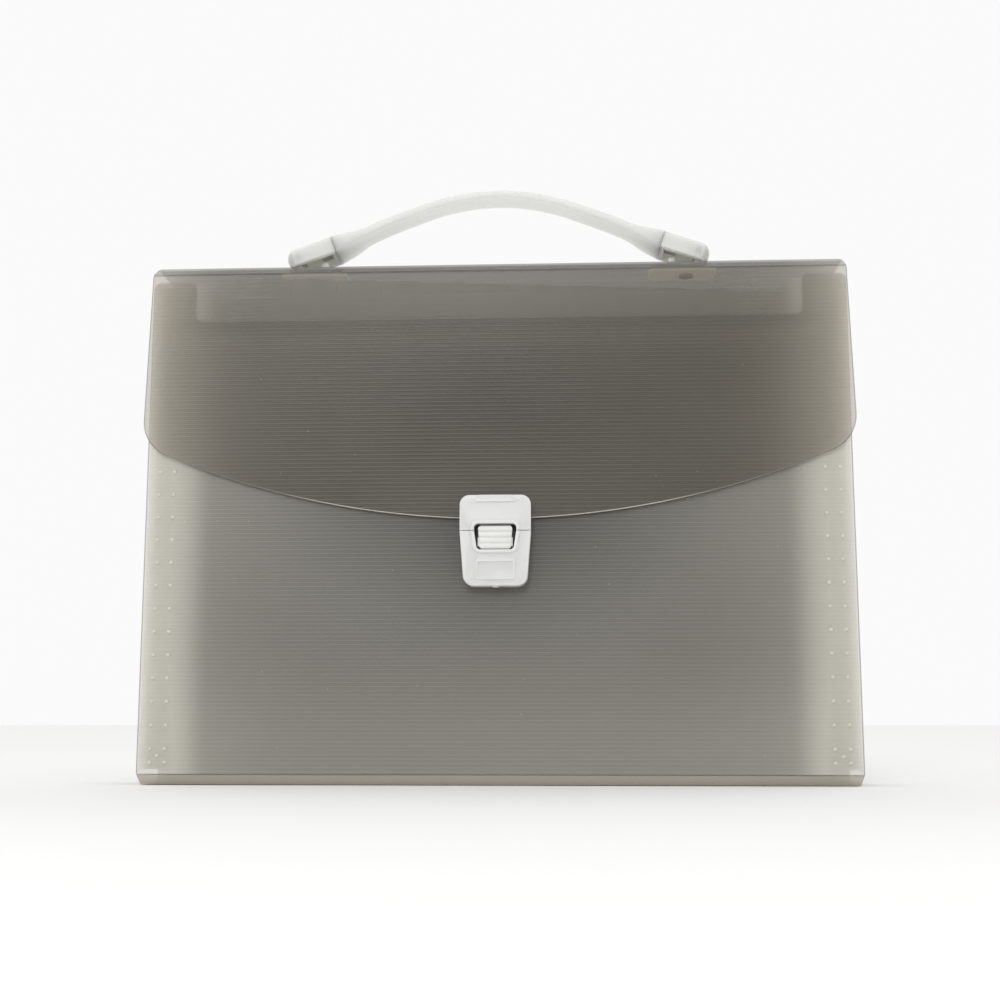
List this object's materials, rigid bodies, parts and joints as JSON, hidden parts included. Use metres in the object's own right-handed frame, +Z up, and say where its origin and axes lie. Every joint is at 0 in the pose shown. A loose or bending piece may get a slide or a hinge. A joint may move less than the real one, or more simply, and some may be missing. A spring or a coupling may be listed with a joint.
{
  "type": "expanding file case",
  "caption": "Upright translucent expanding file case with pleated sides, stepped index dividers, a fold-over flap, a press-pad clasp and an arched carry handle.",
  "frame": {"origin": "Centre of the flat bottom that the case stands on.", "axes": "X is the width, Y the depth with the front at -Y, Z is up."},
  "size_m": [0.334, 0.0446, 0.2854],
  "materials": {
    "shell_sheet": "translucent smoky ribbed sheet",
    "gusset_film": "thin translucent smoky film",
    "divider_sheet": "translucent smoky sheet",
    "white_plastic": "satin moulded plastic",
    "strap_plastic": "milky flexible plastic",
    "rivet_steel": "plated",
    "spring_steel": "rolled strip"
  },
  "bodies": {
    "shell": {"rear_shell": "shell_sheet", "gusset_left": "gusset_film", "gusset_right": "gusset_film"},
    "front": {"front_panel": "shell_sheet", "clasp_keeper": "white_plastic", "keeper_back_plate": "white_plastic", "keeper_rivets": "rivet_steel"},
    "lid": {"top_spine": "shell_sheet", "base_plate_left": "white_plastic", "base_plate_right": "white_plastic", "inner_plate_left": "white_plastic", "inner_plate_right": "white_plastic", "plate_rivets": "rivet_steel", "cap_pins": "rivet_steel"},
    "flap": {"flap": "shell_sheet", "hasp_plate": "white_plastic", "hasp_back_plate": "white_plastic", "hasp_rivets": "rivet_steel", "pad_spring": "spring_steel"},
    "pad": {"press_pad": "white_plastic"},
    "strap": {"handle_strap": "strap_plastic"},
    "cap_left": {"end_cap_left": "white_plastic"},
    "cap_right": {"end_cap_right": "white_plastic"},
    "divider_01": {"divider_01": "divider_sheet"},
    "divider_02": {"divider_02": "divider_sheet"},
    "divider_03": {"divider_03": "divider_sheet"},
    "divider_04": {"divider_04": "divider_sheet"},
    "divider_05": {"divider_05": "divider_sheet"},
    "divider_06": {"divider_06": "divider_sheet"},
    "divider_07": {"divider_07": "divider_sheet"},
    "divider_08": {"divider_08": "divider_sheet"},
    "divider_09": {"divider_09": "divider_sheet"},
    "divider_10": {"divider_10": "divider_sheet"},
    "divider_11": {"divider_11": "divider_sheet"},
    "divider_12": {"divider_12": "divider_sheet"}
  },
  "joints": [
    {"name": "lid_fold", "type": "hinge", "parent": "shell", "child": "lid", "pos_m": [0, 0.018, 0.24055], "axis": [-1, 0, 0], "range_deg": [0, 180]},
    {"name": "flap_fold", "type": "hinge", "parent": "lid", "child": "flap", "pos_m": [0, -0.0204, 0.24062], "axis": [-1, 0, 0], "range_deg": [0, 180]},
    {"name": "front_fold", "type": "hinge", "parent": "shell", "child": "front", "pos_m": [0, -0.01755, 0.0052], "axis": [1, 0, 0], "range_deg": [0, 9.02], "deforming": ["gusset_left", "gusset_right"]},
    {"name": "pad_press", "type": "slide", "parent": "flap", "child": "pad", "axis": [0, 1, 0], "range_m": [0, 0.0012], "stiffness_N_per_m": 150, "springref_m": -0.0005, "deforming": ["pad_spring"]},
    {"name": "handle_press", "type": "slide", "parent": "lid", "child": "strap", "axis": [0, 0, 1], "range_m": [-0.012, 0], "stiffness_N_per_m": 400, "springref_m": 0.0005, "deforming": ["handle_strap"]},
    {"name": "cap_left_tilt", "type": "hinge", "parent": "lid", "child": "cap_left", "pos_m": [-0.09712, 0, 0.25244], "axis": [0, 1, 0], "range_deg": [0, 7.46]},
    {"name": "cap_right_tilt", "type": "hinge", "parent": "lid", "child": "cap_right", "pos_m": [0.09712, 0, 0.25244], "axis": [0, -1, 0], "range_deg": [0, 7.46]},
    {"name": "divider_01_fold", "type": "hinge", "parent": "shell", "child": "divider_01", "pos_m": [0, -0.01755, 0.0052], "axis": [1, 0, 0], "range_deg": [0, 8.97]},
    {"name": "divider_02_fold", "type": "hinge", "parent": "shell", "child": "divider_02", "pos_m": [0, -0.01755, 0.0052], "axis": [1, 0, 0], "range_deg": [0, 8.63]},
    {"name": "divider_03_fold", "type": "hinge", "parent": "shell", "child": "divider_03", "pos_m": [0, -0.01755, 0.0052], "axis": [1, 0, 0], "range_deg": [0, 8.01]},
    {"name": "divider_04_fold", "type": "hinge", "parent": "shell", "child": "divider_04", "pos_m": [0, -0.01755, 0.0052], "axis": [1, 0, 0], "range_deg": [0, 7.17]},
    {"name": "divider_05_fold", "type": "hinge", "parent": "shell", "child": "divider_05", "pos_m": [0, -0.01755, 0.0052], "axis": [1, 0, 0], "range_deg": [0, 6.17]},
    {"name": "divider_06_fold", "type": "hinge", "parent": "shell", "child": "divider_06", "pos_m": [0, -0.01755, 0.0052], "axis": [1, 0, 0], "range_deg": [0, 5.08]},
    {"name": "divider_07_fold", "type": "hinge", "parent": "shell", "child": "divider_07", "pos_m": [0, -0.01755, 0.0052], "axis": [1, 0, 0], "range_deg": [0, 3.96]},
    {"name": "divider_08_fold", "type": "hinge", "parent": "shell", "child": "divider_08", "pos_m": [0, -0.01755, 0.0052], "axis": [1, 0, 0], "range_deg": [0, 2.87]},
    {"name": "divider_09_fold", "type": "hinge", "parent": "shell", "child": "divider_09", "pos_m": [0, -0.01755, 0.0052], "axis": [1, 0, 0], "range_deg": [0, 1.87]},
    {"name": "divider_10_fold", "type": "hinge", "parent": "shell", "child": "divider_10", "pos_m": [0, -0.01755, 0.0052], "axis": [1, 0, 0], "range_deg": [0, 1.03]},
    {"name": "divider_11_fold", "type": "hinge", "parent": "shell", "child": "divider_11", "pos_m": [0, -0.01755, 0.0052], "axis": [1, 0, 0], "range_deg": [0, 0.4066]},
    {"name": "divider_12_fold", "type": "hinge", "parent": "shell", "child": "divider_12", "pos_m": [0, -0.01755, 0.0052], "axis": [1, 0, 0], "range_deg": [0, 0.0655]}
  ],
  "couplings": [
    {"joint": "front_fold", "follows": "lid_fold", "ratio": 0.05},
    {"joint": "cap_left_tilt", "follows": "handle_press", "rad_per_m": -10.821},
    {"joint": "cap_right_tilt", "follows": "handle_press", "rad_per_m": -10.821},
    {"joint": "divider_01_fold", "follows": "lid_fold", "ratio": 0.049747},
    {"joint": "divider_02_fold", "follows": "lid_fold", "ratio": 0.047852},
    {"joint": "divider_03_fold", "follows": "lid_fold", "ratio": 0.044394},
    {"joint": "divider_04_fold", "follows": "lid_fold", "ratio": 0.039721},
    {"joint": "divider_05_fold", "follows": "lid_fold", "ratio": 0.03418},
    {"joint": "divider_06_fold", "follows": "lid_fold", "ratio": 0.028118},
    {"joint": "divider_07_fold", "follows": "lid_fold", "ratio": 0.021882},
    {"joint": "divider_08_fold", "follows": "lid_fold", "ratio": 0.01582},
    {"joint": "divider_09_fold", "follows": "lid_fold", "ratio": 0.010279},
    {"joint": "divider_10_fold", "follows": "lid_fold", "ratio": 0.005606},
    {"joint": "divider_11_fold", "follows": "lid_fold", "ratio": 0.002148},
    {"joint": "divider_12_fold", "follows": "lid_fold", "ratio": 0.000253}
  ]
}
